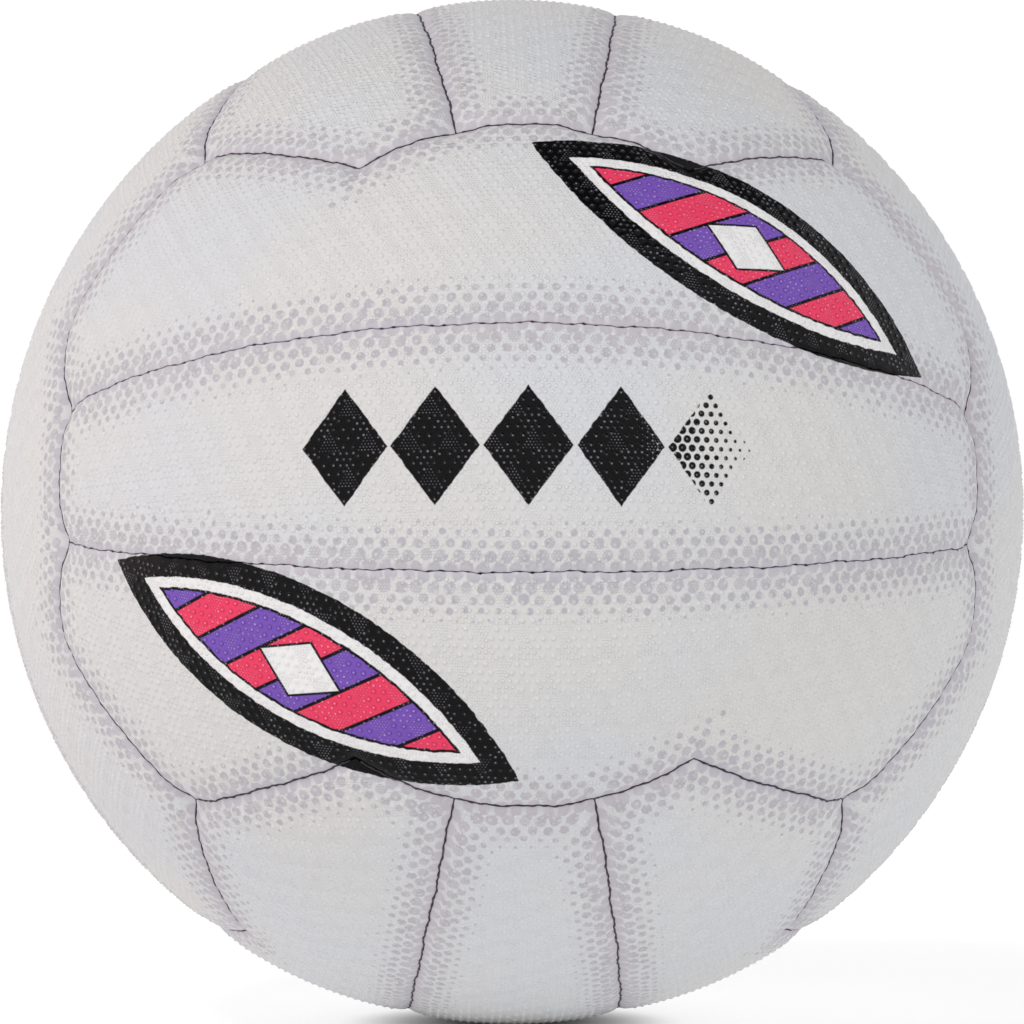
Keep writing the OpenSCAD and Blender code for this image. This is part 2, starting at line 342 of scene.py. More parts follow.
class Form:
    """One sheet of a panel shape, apart from which panel it is.

    Its rings run at a distance inside the outline, each with a level below the ball's surface. The last
    one bounds the outer face, and the first one bounds the inner face where there is one.
    """

    def __init__(self, outline, rings, step, back_step=None, hole_r=0.0, hole_rings=(), pimpled=False):
        self.outline = outline
        loop = sum(outline.steps)
        self.count = 0
        self.parts, self.faces, self.levels, self.outer = [], [], [], []
        for d, level in rings:
            self.extend(outline.row(d), level, False)
        i = np.arange(loop)
        nxt = (i + 1) % loop
        for r in range(len(rings) - 1):
            a, b = r * loop, (r + 1) * loop
            self.faces.append(np.stack([a + i, a + nxt, b + nxt], axis=1))
            self.faces.append(np.stack([a + i, b + nxt, b + i], axis=1))
        self.hole = self.fill(rings[-1], (len(rings) - 1) * loop, step, hole_r, hole_rings, pimpled)
        if back_step:
            back_hole = self.fill(rings[0], 0, back_step, hole_r, (), False, flip=True)
            if hole_r:
                self.bridge(self.hole, back_hole)
        self.dirs = np.concatenate(self.parts)
        self.faces = np.concatenate(self.faces)
        self.levels = np.concatenate(self.levels)
        self.outer = np.concatenate(self.outer)
        self.pimples = np.zeros(self.count)
        if pimpled:
            self.pimples[self.first:self.first + len(self.heights)] = self.heights
        self.sheet = outline.to_sheet(self.dirs)
        self.distances, self.along = outline.edge_distances(self.dirs)
        self.near = self.distances.argmin(axis=1)
        self.seam = self.distances.min(axis=1)
        second = np.partition(self.distances, 1, axis=1)[:, 1]
        self.soft_seam = self.seam * (1 - CORNER_EASE * np.exp(-(second - self.seam) / CORNER_SPREAD))

    def extend(self, dirs, level, outer):
        """Adds vertices and returns their numbers."""
        self.parts.append(dirs)
        self.levels.append(np.full(len(dirs), level, float))
        self.outer.append(np.full(len(dirs), outer))
        self.count += len(dirs)
        return np.arange(self.count - len(dirs), self.count)

    def fill(self, ring, start, step, hole_r, hole_rings, pimpled, flip=False):
        """Covers the inside of a ring with a triangular lattice, round the valve's hole if there is one."""
        d, level = ring
        loop = sum(self.outline.steps)
        st, ij = lattice(self.outline, step, d + 0.6 * step)
        circle = np.zeros((0, 2))
        reach = hole_r + (hole_rings[0][0] if hole_rings else 0)
        if hole_r:
            turn = np.linspace(0, 2 * math.pi, HOLE_SIDES, endpoint=False)
            circle = np.stack([np.cos(turn), np.sin(turn)], axis=1)
            keep = np.linalg.norm(st, axis=1) > reach + 0.6 * step
            st, ij = st[keep], ij[keep]
        points = np.concatenate([st, circle * reach])
        hole = np.arange(loop + len(st), loop + len(points))
        triangles = triangulate(self.outline.to_sheet(self.outline.row(d)), points, hole)
        added = self.extend(self.outline.from_sheet(points), level, not flip)
        index = np.concatenate([start + np.arange(loop), added])
        triangles = index[triangles]
        self.faces.append(triangles[:, ::-1] if flip else triangles)
        if pimpled:
            self.first = added[0]
            self.heights = pimple_heights(ij)
        rim = index[hole] if hole_r else hole
        for past, depth in hole_rings[1:]:
            inner = self.extend(self.outline.from_sheet(circle * (hole_r + past)), level + depth, False)
            self.bridge(rim, inner)
            rim = inner
        return rim

    def bridge(self, a, b):
        self.faces.append(np.stack([a, b, np.roll(b, -1)], axis=1))
        self.faces.append(np.stack([a, np.roll(b, -1), np.roll(a, -1)], axis=1))


SEAMS = {}


def seam_of(p, q):
    """The seam between two junctions: its own direction, phases and tightness."""
    key = tuple(np.round(unit(p + q), 3) + 0.0)
    if key not in SEAMS:
        rng = np.random.default_rng(len(SEAMS) + 11)
        tight = abs(key[0]) < 0.01 and abs(key[1]) > 0.97
        SEAMS[key] = {
            "start": p,
            "length": math.acos(np.clip(p @ q, -1, 1)) * BALL_R,
            "normal": unit(np.cross(p, q)),
            "phase": rng.uniform(0, 2 * math.pi, 4),
            "tight": float(tight),
            "index": len(SEAMS),
        }
    return SEAMS[key]


def seam_wave(seam, along):
    """Sideways wander of a seam, in millimetres."""
    window = smooth(along / WAVE_FADE) * smooth((seam["length"] - along) / WAVE_FADE)
    return WAVE * window * sum(
        share * np.sin(2 * math.pi * along / period + phase)
        for (period, share), phase in zip(WAVES, seam["phase"])
    )


def seam_pucker(seam, along):
    """Share by which the stitches draw the cover in at a place along a seam."""
    beat = 0.5 + 0.5 * np.cos(2 * math.pi * along / STITCH + seam["phase"][2])
    slow = 0.5 + 0.5 * np.sin(2 * math.pi * along / PUCKER_PERIOD + seam["phase"][3])
    return beat ** 3 * (0.55 + 0.45 * slow)


def seam_gap(seam, along):
    """Share by which a seam stands open at a place along it."""
    short, long = GAP_PERIODS
    beat = 0.5 + 0.5 * np.sin(2 * math.pi * along / short + seam["phase"][0])
    slow = 0.5 + 0.5 * np.sin(2 * math.pi * along / long + seam["phase"][3])
    return beat ** 4 * (0.25 + 0.75 * slow)


def seam_tightness(seam, along):
    """1 in a tight seam, fading to 0 at its ends, and 0 in the others."""
    return seam["tight"] * smooth(along / TIGHT_FADE) * smooth((seam["length"] - along) / TIGHT_FADE)


def sunk(depth, dirs, corners, sinks):
    """Depth with the dip at each junction added."""
    for corner, sink in zip(corners, sinks):
        away = np.arccos(np.clip(dirs @ corner, -1, 1)) * BALL_R
        depth = depth + sink * np.exp(-(away / SINK_W) ** 2)
    return depth


def panel_points(form, turn, rolled=False):
    """Places of a sheet's vertices on the ball, in millimetres, and how closed its seams look there."""
    outline = form.outline
    dirs = form.dirs @ turn.T
    shift = np.zeros_like(dirs)
    pucker = np.zeros(len(dirs))
    tight = np.zeros(len(dirs))
    gap = np.zeros(len(dirs))
    for e in range(len(outline.p)):
        mine = form.near == e
        off = form.seam[mine]
        p, q = outline.p[e] @ turn.T, outline.q[e] @ turn.T
        seam = seam_of(p, q)
        along = form.along[mine, e]
        if np.linalg.norm(seam["start"] - p) > 1e-6:
            along = seam["length"] - along
        reach = np.exp(-(off / WAVE_REACH) ** 2)
        shift[mine] = seam["normal"] * (seam_wave(seam, along) * reach)[:, None]
        pucker[mine] = seam_pucker(seam, along) * np.exp(-((off / PUCKER_REACH) ** 2))
        tight[mine] = seam_tightness(seam, along)
        gap[mine] = seam_gap(seam, along)
        drawn = (0.7 + 0.3 * tight[mine]) * (1 - OPENING * gap[mine])
        closing = drawn * np.exp(-(off / CLOSING_REACH) ** 2)
        shift[mine] -= (turn @ outline.n[e]) * (CLOSING * closing)[:, None]
    depth = form.levels + CROWN_DEPTH * np.exp(-form.seam / CROWN_W)
    depth = sunk(depth, form.dirs, outline.p, outline.sinks)
    if rolled:
        width = SHOULDER_W * (1 - TIGHT_WIDTH_CUT * tight)
        slope = SHOULDER_SLOPE * np.clip(1 - form.soft_seam / width, 0, 1)
        roll = SHOULDER_DEPTH * (1 - TIGHT_DEPTH_CUT * tight) * (1 - np.sqrt(1 - slope ** 2))
        dip = PUCKER * (1 - TIGHT_PUCKER_CUT * tight) * pucker
        depth += np.where(form.levels < COVER_T, roll + dip, 0)
        depth -= PIMPLE_H * form.pimples * smooth((form.seam - PIMPLE_START) / PIMPLE_RISE)
    return dirs * (BALL_R - depth)[:, None] + shift, (0.45 + 0.55 * tight) * (1 - 0.9 * gap)


def halftone(form, rng):
    """Signed distance to the nearest dot of the printed border, in millimetres, at each vertex."""
    outline = form.outline
    centres, radii = [], []
    for k, (d, size) in enumerate(DOT_ROWS):
        for e in range(len(outline.p)):
            length = outline.sweep[e] * BALL_R
            count = max(1, round((length + 2) / DOT_PITCH))
            place = (np.arange(-2, count + 3) + 0.5 * (k % 2)) * DOT_PITCH
            angle = (place + rng.normal(0, DOT_STRAY, len(place))) / BALL_R
            rise = (d + rng.normal(0, DOT_STRAY, len(place))) / BALL_R
            points = np.cos(rise)[:, None] * (
                np.cos(angle)[:, None] * outline.p[e] + np.sin(angle)[:, None] * outline.side[e]
            ) + np.sin(rise)[:, None] * outline.n[e]
            distance, _ = outline.edge_distances(points)
            own = distance.min(axis=1)
            keep = (distance.argmin(axis=1) == e) & (own > d - 0.5) & (points @ outline.n[e] > 0)
            for point in points[keep]:
                if k and centres:
                    nearest = np.min(np.linalg.norm(np.array(centres) - point, axis=1))
                    if nearest * BALL_R < DOT_APART:
                        continue
                centres.append(point)
                radii.append(size * rng.uniform(0.9, 1.1))
    centres, radii = np.array(centres), np.array(radii)
    value = np.full(len(form.dirs), DOT_FAR)
    reach = DOT_ROWS[-1][0] + 2.5
    near = np.flatnonzero((form.seam < reach) & (form.levels < COVER_T))
    for part in np.array_split(near, 24):
        gap = np.arccos(np.clip(form.dirs[part] @ centres.T, -1, 1)) * BALL_R - radii
        value[part] = gap.min(axis=1)
    return value


def mesh_object(name, points, faces, attributes=(), material=None):
    """A mesh from points in millimetres and triangles."""
    mesh = bpy.data.meshes.new(name)
    mesh.vertices.add(len(points))
    mesh.vertices.foreach_set("co", (np.asarray(points, np.float32) * MM).ravel())
    mesh.loops.add(faces.size)
    mesh.loops.foreach_set("vertex_index", faces.astype(np.int32).ravel())
    mesh.polygons.add(len(faces))
    mesh.polygons.foreach_set("loop_start", np.arange(0, faces.size, faces.shape[1], dtype=np.int32))
    mesh.polygons.foreach_set("use_smooth", np.ones(len(faces), bool))
    for label, values in attributes:
        kind = "FLOAT_VECTOR" if values.ndim > 1 else "FLOAT"
        layer = mesh.attributes.new(label, kind, "POINT")
        layer.data.foreach_set("vector" if values.ndim > 1 else "value", values.astype(np.float32).ravel())
    mesh.update()
    mesh.validate()
    obj = bpy.data.objects.new(name, mesh)
    bpy.context.scene.collection.objects.link(obj)
    if material:
        mesh.materials.append(material)
    return obj


# Shader graphs

class Graph:
    """A material's node tree, built by plain calls."""

    def __init__(self, name):
        self.material = bpy.data.materials.new(name)
        self.material.use_nodes = True
        self.tree = self.material.node_tree
        self.tree.nodes.clear()

    def node(self, kind, **settings):
        node = self.tree.nodes.new(kind)
        for key, value in settings.items():
            setattr(node, key, value)
        return node

    def feed(self, socket, value):
        if isinstance(value, bpy.types.NodeSocket):
            self.tree.links.new(value, socket)
        elif value is not None:
            socket.default_value = value

    def math(self, operation, *values, clamp=False):
        node = self.node("ShaderNodeMath", operation=operation, use_clamp=clamp)
        for socket, value in zip(node.inputs, values):
            self.feed(socket, value)
        return node.outputs[0]

    def add(self, a, b):
        return self.math("ADD", a, b)

    def sub(self, a, b):
        return self.math("SUBTRACT", a, b)

    def mul(self, a, b):
        return self.math("MULTIPLY", a, b)

    def smaller(self, a, b):
        return self.math("MINIMUM", a, b)

    def larger(self, a, b):
        return self.math("MAXIMUM", a, b)

    def step(self, value, low, high):
        """1 above high and 0 below low, or the reverse where low is above high."""
        node = self.node("ShaderNodeMapRange", interpolation_type="SMOOTHSTEP")
        self.feed(node.inputs["Value"], value)
        if low < high:
            self.feed(node.inputs["From Min"], low)
            self.feed(node.inputs["From Max"], high)
        else:
            self.feed(node.inputs["From Min"], high)
            self.feed(node.inputs["From Max"], low)
            self.feed(node.inputs["To Min"], 1.0)
            self.feed(node.inputs["To Max"], 0.0)
        return node.outputs[0]

    def mix(self, share, a, b):
        node = self.node("ShaderNodeMix", data_type="RGBA")
        self.feed(node.inputs["Factor"], share)
        self.feed(node.inputs[6], a)
        self.feed(node.inputs[7], b)
        return node.outputs[2]

    def noise(self, vector, scale, detail=2.0, roughness=0.5):
        node = self.node("ShaderNodeTexNoise")
        self.feed(node.inputs["Vector"], vector)
        self.feed(node.inputs["Scale"], scale)
        self.feed(node.inputs["Detail"], detail)
        self.feed(node.inputs["Roughness"], roughness)
        return node.outputs["Fac"]

    def attribute(self, name, output="Fac"):
        return self.node("ShaderNodeAttribute", attribute_name=name).outputs[output]

    def split(self, vector):
        node = self.node("ShaderNodeSeparateXYZ")
        self.feed(node.inputs[0], vector)
        return node.outputs[0], node.outputs[1], node.outputs[2]

    def bump(self, height, strength, distance):
        node = self.node("ShaderNodeBump")
        self.feed(node.inputs["Height"], height)
        self.feed(node.inputs["Strength"], strength)
        self.feed(node.inputs["Distance"], distance)
        return node.outputs["Normal"]

    def finish(self, colour, roughness, normal=None, **numbers):
        shader = self.node("ShaderNodeBsdfPrincipled")
        self.feed(shader.inputs["Base Color"], colour)
        self.feed(shader.inputs["Roughness"], roughness)
        self.feed(shader.inputs["Normal"], normal)
        for key, value in numbers.items():
            shader.inputs[key.replace("_", " ")].default_value = value
        out = self.node("ShaderNodeOutputMaterial")
        self.tree.links.new(shader.outputs[0], out.inputs["Surface"])
        return self.material


def srgb(r, g, b):
    """A colour written as it shows on screen, for a shader."""
    linear = [((c / 255 + 0.055) / 1.055) ** 2.4 if c > 10 else c / 255 / 12.92 for c in (r, g, b)]
    return (*linear, 1.0)


def leaf_distance(g, x, z, half_length, half_width):
    """Signed distance to a leaf shape between two arcs, with its length along x."""
    radius = (half_length ** 2 + half_width ** 2) / (2 * half_width)
    drop = radius - half_width
    zz = g.add(g.math("ABSOLUTE", z), drop)
    away = g.math("SQRT", g.add(g.mul(x, x), g.mul(zz, zz)))
    return g.sub(away, radius)


def turned(g, x, z, cx, cz, degrees):
    c, s = math.cos(math.radians(degrees)), math.sin(math.radians(degrees))
    dx, dz = g.sub(x, cx), g.sub(z, cz)
    return g.add(g.mul(dx, c), g.mul(dz, s)), g.sub(g.mul(dz, c), g.mul(dx, s))


def inside_share(g, distance, edge=0.12):
    """1 where a signed distance is negative."""
    return g.step(distance, edge, -edge)


# The print, in millimetres round the middle of the front, and half turned on the back
LEAF_HALF = 47.0
LEAF_WIDE = 15.5
LEAF_AT = (43.0, 41.0)
LEAF_TILT = -27.0
LEAF_DIVIDE = 1.6
BORDER = 4.7
INLINE = 2.1
FINE_LINE = 0.55
STRIPE = 7.0
STRIPE_WAY = (0.78, -0.62)
STRIPE_LINE = (0.42, 0.24)
EYE_HALF = (8.6, 5.6)
EYE_LINE = 0.45
DIAMOND_STEP = 16.6
DIAMOND_HALF = (8.0, 10.8)
DIAMOND_ENDS = 2.0
FADE_CELL = (0.93, 1.6)
FADE_REACH = (52.0, 8.0)
FADE_DOT_R = 1.35

# Relief in the shader: smaller bumps per pitch of the pimples, and their edges as squared distance
KNOBS = 1.5
BEADS = 3.0
DOME_EDGE = 0.09
KNOB_EDGE = 0.15
BEAD_EDGE = 0.2
DOME_BUMP = 1.0
KNOB_BUMP = 1.4
BEAD_BUMP = 0.9
BUMP_H = 0.00014

INK = srgb(7, 7, 9)
CORAL = srgb(224, 62, 96)
VIOLET = srgb(114, 80, 172)
WHITE_BAND = srgb(222, 221, 221)
WHITE_EYE = srgb(224, 223, 223)


def print_plane(g, place):
    """Flat coordinates of the print, which run the same way on the front and on the back."""
    x, y, z = (g.mul(c, 1 / MM) for c in g.split(place))
    front = g.math("LESS_THAN", y, 0.0)
    side = g.sub(g.mul(front, 2.0), 1.0)
    across = g.math("SQRT", g.add(g.mul(x, x), g.mul(z, z)))
    share = g.smaller(g.mul(across, 1 / BALL_R), 0.999)
    stretch = g.math("DIVIDE", g.math("ARCSINE", share), g.larger(share, 0.01))
    return g.mul(g.mul(x, stretch), side), g.mul(z, stretch), front


def leaf_print(g, u, v, wobble):
    """Masks of the two leaves. The second is the first, half turned."""
    upper = g.math("GREATER_THAN", g.add(u, g.mul(v, LEAF_DIVIDE)), 0.0)
    flip = g.sub(g.mul(upper, 2.0), 1.0)
    along, over = turned(g, g.mul(u, flip), g.mul(v, flip), *LEAF_AT, LEAF_TILT)
    leaf = g.add(leaf_distance(g, along, over, LEAF_HALF, LEAF_WIDE), g.mul(wobble, 1.2))
    beat = g.mul(g.add(g.mul(along, STRIPE_WAY[0]), g.mul(over, STRIPE_WAY[1])), 1 / STRIPE)
    from_line = g.mul(g.math("PINGPONG", beat, 0.5), STRIPE)
    narrow = g.mul(g.math("ABSOLUTE", along), EYE_HALF[1] / EYE_HALF[0])
    eye = g.mul(g.sub(g.add(narrow, g.math("ABSOLUTE", over)), EYE_HALF[1]), 0.8)
    return {
        "black": inside_share(g, leaf),
        "white": inside_share(g, g.add(leaf, BORDER)),
        "line": inside_share(g, g.add(leaf, BORDER + INLINE)),
        "fill": inside_share(g, g.add(leaf, BORDER + INLINE + FINE_LINE)),
        "violet": g.math("GREATER_THAN", g.math("FRACT", g.mul(beat, 0.5)), 0.5),
        "stripe_line": g.step(from_line, *STRIPE_LINE),
        "eye_line": inside_share(g, g.sub(eye, EYE_LINE)),
        "eye": inside_share(g, eye),
    }


def diamond_row(g, u, v, wobble):
    """Mask of a row of diamonds along the middle, whose last one fades into dots."""
    centre = g.math("ROUND", g.smaller(g.larger(g.mul(u, 1 / DIAMOND_STEP), -DIAMOND_ENDS), DIAMOND_ENDS))
    du = g.math("ABSOLUTE", g.sub(u, g.mul(centre, DIAMOND_STEP)))
    slope = DIAMOND_HALF[1] / DIAMOND_HALF[0]
    over = g.sub(g.add(g.mul(du, slope), g.math("ABSOLUTE", v)), DIAMOND_HALF[1])
    diamond = g.mul(over, 1 / math.sqrt(1 + slope ** 2))
    half_u, half_v = FADE_CELL
    dots = []
    for shift in (0.0, 1.0):
        cell_u = g.math("WRAP", g.add(u, shift * half_u), half_u, -half_u)
        cell_v = g.math("WRAP", g.add(v, shift * half_v), half_v, -half_v)
        dots.append(g.math("SQRT", g.add(g.mul(cell_u, cell_u), g.mul(cell_v, cell_v))))
    fade = g.sub(g.smaller(*dots), g.mul(g.step(u, *FADE_REACH), FADE_DOT_R))
    return g.mul(inside_share(g, g.add(diamond, g.mul(wobble, 0.9))), inside_share(g, fade))


def relief(g, seam):
    """Masks of the moulded cover: pimples on a lattice, with triangular patches of knobs and of beads, and
    masks for the painted shade round the pimples' bases, the painted highlights on their tops and the
    painted glints at their peaks.
    """
    s, t, _ = g.split(g.attribute("sheet", "Vector"))
    row = g.mul(t, 2 / math.sqrt(3) / PIMPLE_PITCH)
    col = g.sub(g.mul(s, 1 / PIMPLE_PITCH), g.mul(row, 0.5))
    cell_u = g.math("WRAP", g.add(col, 0.5), float(PATCH_CELL), 0.0)
    cell_v = g.math("WRAP", g.add(row, 0.5), float(PATCH_CELL), 0.0)
    corner = g.add(cell_u, cell_v)
    beaded = g.step(corner, 2.56, 2.44)
    knobbed = g.step(corner, 5.34, 5.46)
    flat = g.step(seam, 1.3, 3.2)
    between = g.mul(g.sub(g.sub(1.0, beaded), knobbed), flat)

    def from_bump(per_pitch):
        """Squared distance to the nearest bump of a triangular lattice, in its own pitches."""
        bump_u = g.math("WRAP", g.mul(col, per_pitch), 0.5, -0.5)
        bump_v = g.math("WRAP", g.mul(row, per_pitch), 0.5, -0.5)
        return g.add(g.add(g.mul(bump_u, bump_u), g.mul(bump_v, bump_v)), g.mul(bump_u, bump_v))

    coarse, medium, fine = from_bump(1.0), from_bump(KNOBS), from_bump(BEADS)
    dome = g.mul(g.step(coarse, DOME_EDGE, 0.0), between)
    knob = g.mul(g.mul(g.step(medium, KNOB_EDGE, 0.0), knobbed), flat)
    bead = g.mul(g.mul(g.step(fine, BEAD_EDGE, 0.0), beaded), flat)
    # Painted highlight: the bead tops are lightened, and the whole bead patch a little
    bead_painted_highlight = g.add(g.mul(bead, 0.2), g.mul(g.mul(beaded, flat), 0.17))
    return {
        "dome": dome,
        "knob": knob,
        "bead": bead,
        # Painted shade: a darker ring round the base of each pimple
        "painted_foot_shade": g.mul(g.mul(g.step(coarse, 0.025, 0.05), g.step(coarse, 0.12, 0.06)), between),
        # Painted highlight on the tops of the domes, knobs and beads
        "painted_highlight": g.larger(g.mul(dome, 0.3), g.larger(g.mul(knob, 0.3), bead_painted_highlight)),
        # Painted glints at the peaks of the pimples, standing also for ink worn off there
        "glinting_worn_tips": g.larger(
            g.mul(g.step(coarse, 0.016, 0.003), between),
            g.larger(
                g.mul(g.step(medium, 0.05, 0.01), knob),
                g.mul(g.step(fine, 0.07, 0.02), g.mul(bead, 0.8)),
            ),
        ),
    }


def cover_material():
    g = Graph("printed_cover")
    place = g.node("ShaderNodeTexCoord").outputs["Object"]
    fine_cloud = g.noise(place, 620.0, 2.0)
    wobble = g.mul(g.sub(fine_cloud, 0.5), 0.6)
    seam = g.attribute("seam")
    bumps = relief(g, seam)
    u, v, front = print_plane(g, place)
    leaf = leaf_print(g, u, v, wobble)
    diamonds = g.mul(diamond_row(g, u, v, wobble), front)

    # The plain cover, a little warmer and cooler in large soft areas, with its halftone, the painted shade
    # along its seams, and painted shade and highlights on the pimples
    warm = g.step(g.noise(place, 17.0, 2.0), 0.36, 0.64)
    plain = g.mix(warm, srgb(205, 204, 203), srgb(201, 203, 207))
    plain = g.mix(g.mul(g.step(fine_cloud, 0.5, 0.8), 0.35), plain, srgb(190, 188, 187))
    dot_colour = g.mix(warm, srgb(170, 168, 176), srgb(174, 169, 174))
    edge_colour = g.mix(warm, srgb(187, 183, 194), srgb(191, 185, 191))
    printed = inside_share(g, g.add(g.attribute("halftone"), wobble), 0.14)
    strength = g.mul(printed, g.add(g.mul(g.step(fine_cloud, 0.7, 0.4), 0.25), 0.6))
    colour = g.mix(strength, plain, dot_colour)
    colour = g.mix(g.mul(g.step(seam, 3.2, 0.9), 0.5), colour, edge_colour)
    # Painted shade: a dark line along each seam, standing for the shadow in the gap between the panels
    colour = g.mix(g.mul(g.step(seam, 0.38, 0.12), 0.9), colour, srgb(62, 58, 64))
    # Painted shade: the cover is darkened a little round the base of each pimple
    colour = g.mix(g.mul(bumps["painted_foot_shade"], 0.05), colour, srgb(158, 154, 156))
    # Painted highlight: the tops of the pimples are lightened
    colour = g.mix(bumps["painted_highlight"], colour, srgb(226, 225, 225))

    # Painted glints on the peaks of the pimples, which also stand for ink worn off there, and painted shade
    # round their bases
    thin_ink_and_glint = g.mul(bumps["glinting_worn_tips"], g.add(g.mul(g.step(fine_cloud, 0.35, 0.65), 0.45), 0.15))
    ink = g.mix(thin_ink_and_glint, INK, srgb(138, 138, 146))
    coral = g.mix(g.mul(bumps["painted_foot_shade"], 0.4), CORAL, srgb(158, 36, 66))
    coral = g.mix(g.mul(thin_ink_and_glint, 0.9), coral, srgb(250, 160, 182))
    violet = g.mix(g.mul(bumps["painted_foot_shade"], 0.4), VIOLET, srgb(66, 44, 112))
    violet = g.mix(g.mul(thin_ink_and_glint, 0.9), violet, srgb(190, 170, 224))
    stripes = g.mix(leaf["stripe_line"], g.mix(leaf["violet"], coral, violet), ink)
    for share, layer in (
        (leaf["black"], ink),
        (leaf["white"], WHITE_BAND),
        (leaf["line"], ink),
        (leaf["fill"], stripes),
        (g.mul(leaf["eye_line"], leaf["fill"]), ink),
        (g.mul(leaf["eye"], leaf["fill"]), WHITE_EYE),
        (diamonds, ink),
    ):
        colour = g.mix(share, colour, layer)

    # The print is smoother than the bare cover, which has a light grain
    black = g.larger(g.sub(leaf["black"], leaf["white"]), diamonds)
    any_print = g.larger(leaf["fill"], black)
    rough = g.sub(g.add(g.mul(fine_cloud, 0.2), 0.38), g.mul(any_print, 0.28))
    grain = g.mul(g.noise(place, 1300.0, 2.0, 0.6), g.sub(0.5, g.mul(any_print, 0.38)))
    coarse_height = g.add(g.mul(bumps["dome"], DOME_BUMP), g.mul(bumps["knob"], KNOB_BUMP))
    height = g.add(coarse_height, g.add(g.mul(bumps["bead"], BEAD_BUMP), grain))
    return g.finish(colour, rough, g.bump(height, 0.9, BUMP_H), Specular_IOR_Level=0.12)


def thread_material():
    g = Graph("waxed_thread")
    place = g.node("ShaderNodeTexCoord").outputs["Object"]
    ply = g.noise(place, 2600.0, 2.0)
    colour = g.mix(ply, srgb(30, 28, 32), srgb(66, 62, 70))
    return g.finish(colour, 0.5, g.bump(ply, 0.5, 0.0001), Specular_IOR_Level=0.35)


def lining_material():
    g = Graph("woven_lining")
    place = g.node("ShaderNodeTexCoord").outputs["Object"]
    s, t, _ = g.split(g.attribute("sheet", "Vector"))
    warp = g.math("SINE", g.mul(s, 5.2))
    weft = g.math("SINE", g.mul(t, 5.2))
    weave = g.add(g.mul(g.mul(warp, weft), 0.5), 0.5)
    slub = g.noise(place, 420.0, 3.0)
    colour = g.mix(weave, srgb(196, 190, 176), srgb(222, 217, 204))
    colour = g.mix(g.mul(slub, 0.35), colour, srgb(180, 172, 156))
    return g.finish(colour, 0.85, g.bump(weave, 0.6, 0.0002), Specular_IOR_Level=0.2)


def rubber_material(name, low, high, rough, grain):
    g = Graph(name)
    place = g.node("ShaderNodeTexCoord").outputs["Object"]
    cloud = g.noise(place, 60.0, 4.0)
    fine = g.noise(place, grain, 3.0, 0.6)
    colour = g.mix(g.step(cloud, 0.3, 0.7), low, high)
    bloom = g.step(g.noise(place, 180.0, 3.0), 0.58, 0.75)
    colour = g.mix(g.mul(bloom, 0.2), colour, srgb(96, 94, 92))
    roughness = g.add(g.mul(fine, 0.2), rough)
    return g.finish(colour, roughness, g.bump(fine, 0.25, 0.0002))


# The cover: eighteen panels

middle_outline = Outline(MIDDLE, MIDDLE_SINKS, 0)
outer_outline = Outline(OUTER, OUTER_SINKS, OUTER_TILT)
COVER_FORMS = {
    "middle": Form(middle_outline, COVER_RINGS, LATTICE, BACK_STEP, pimpled=True),
    "valve": Form(middle_outline, COVER_RINGS, LATTICE, BACK_STEP, VALVE_R, HOLE_RINGS, pimpled=True),
    "outer": Form(outer_outline, COVER_RINGS, LATTICE, BACK_STEP, pimpled=True),
}
LINING_FORMS = {
    "middle": Form(middle_outline, LINING_RINGS, LINING_STEP, BACK_STEP),
    "valve": Form(middle_outline, LINING_RINGS, LINING_STEP, BACK_STEP, VALVE_R),
    "outer": Form(outer_outline, LINING_RINGS, LINING_STEP, BACK_STEP),
}
cover_look = cover_material()
lining_look = lining_material()


def settle(piece, node):
    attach(piece, "root")
    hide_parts(node)


def add_panel(name, kind, turn, seed):
    """The printed cover of one panel and the cloth bonded to its back."""
    form = COVER_FORMS[kind]
    points, closed = panel_points(form, turn, rolled=True)
    attributes = [
        # Where a seam looks closed the seam attribute grows faster, which narrows the painted shade line
        # along the seam there
        ("seam", form.seam * (1 + TIGHT_LINE_CUT * closed)),
        ("halftone", halftone(form, np.random.default_rng(seed))),
        ("sheet", np.concatenate([form.sheet, np.zeros((len(points), 1))], axis=1)),
    ]
    cover = mesh_object(name + "_cover", points, form.faces, attributes, cover_look)
    settle(cover, name + "_panel")
    form = LINING_FORMS[kind]
    points, _ = panel_points(form, turn)
    sheet = np.concatenate([form.sheet, np.zeros((len(points), 1))], axis=1)
    cloth = mesh_object(name + "_cloth", points, form.faces, [("sheet", sheet)], lining_look)
    settle(cloth, name + "_lining")


thread_look = thread_material()


